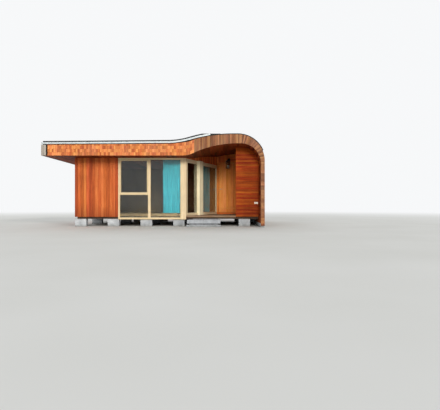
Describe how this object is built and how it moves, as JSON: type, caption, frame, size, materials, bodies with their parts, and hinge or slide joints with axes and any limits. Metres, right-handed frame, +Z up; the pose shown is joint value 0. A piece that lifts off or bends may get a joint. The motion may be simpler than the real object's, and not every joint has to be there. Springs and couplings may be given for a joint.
{
  "type": "curved-roof timber cabin",
  "caption": "Long low timber cabin whose roof rises in a wave to an arch and comes down to the ground, with a splayed glazed porch, a hinged door and board cladding.",
  "frame": {"origin": "middle of the roof's outline, on the ground", "axes": "+X to the right along the front, +Y to the back, +Z up; the front with the porch faces -Y"},
  "size_m": [8.26, 6.4, 3.4757],
  "materials": {
    "concrete": "pale blue-grey concrete, dull",
    "stone_slab": "grey paving slab, dull",
    "frame_timber": "plain structural timber with insulation",
    "floor_board": "plain floor boards",
    "deck_board": "brown deck boards, weathered",
    "wall_cedar": "orange-brown cedar boards",
    "porch_cedar": "dark red-brown boards",
    "red_cedar": "red-brown boards laid flat",
    "pale_frame": "pale cream timber",
    "window_glass": "clear window glass",
    "door_wood": "orange-brown boards, oiled",
    "handle_steel": "dull steel",
    "curtain": "teal cloth",
    "edge_cedar": "narrow orange cedar boards, sun-bleached",
    "grey_board": "grey weathered boards",
    "black_sheet": "black roof sheet",
    "pale_trim": "pale blue-grey metal edge",
    "dark_metal": "dark lamp body with pale panes",
    "white_cover": "white cover"
  },
  "bodies": {
    "cabin": {"foundation_blocks": "concrete", "porch_step": "stone_slab", "leg_footing": "concrete", "floor_frame": "frame_timber", "floor_panel": "floor_board", "porch_deck": "deck_board", "porch_edge_board": "deck_board", "left_wall": "wall_cedar", "front_wall_left": "wall_cedar", "corner_post": "pale_frame", "wall_over_screen": "porch_cedar", "inner_post": "porch_cedar", "wall_over_door": "porch_cedar", "porch_side_wall": "red_cedar", "right_front_wall": "red_cedar", "rear_wall_left": "wall_cedar", "rear_wall_right": "wall_cedar", "front_window_frame": "pale_frame", "screen_frame": "pale_frame", "window_glass": "window_glass", "door_frame": "door_wood", "hinge_plates": "handle_steel", "curtain_front": "curtain", "curtain_screen": "curtain", "roof_left": "frame_timber", "roof_wave": "frame_timber", "roof_crown": "frame_timber", "roof_shoulder": "frame_timber", "shell_wall_right": "frame_timber", "ceiling_left": "porch_cedar", "arch_lining": "porch_cedar", "fascia_corner": "grey_board", "fascia_left": "edge_cedar", "fascia_wave": "edge_cedar", "fascia_crown": "edge_cedar", "fascia_leg": "edge_cedar", "fascia_left_side": "grey_board", "roof_membrane": "black_sheet", "roof_kerb": "black_sheet", "edge_trim": "pale_trim", "wall_lantern": "dark_metal", "wall_vent": "white_cover"},
    "door": {"door_leaf": "door_wood", "leaf_hinges": "handle_steel", "door_handle": "handle_steel"}
  },
  "joints": [
    {"name": "door_hinge", "type": "hinge", "parent": "cabin", "child": "door", "pos_m": [3.20788, 0.30067, 0.5], "axis": [0, 0, -1], "range_deg": [0, 90]}
  ]
}
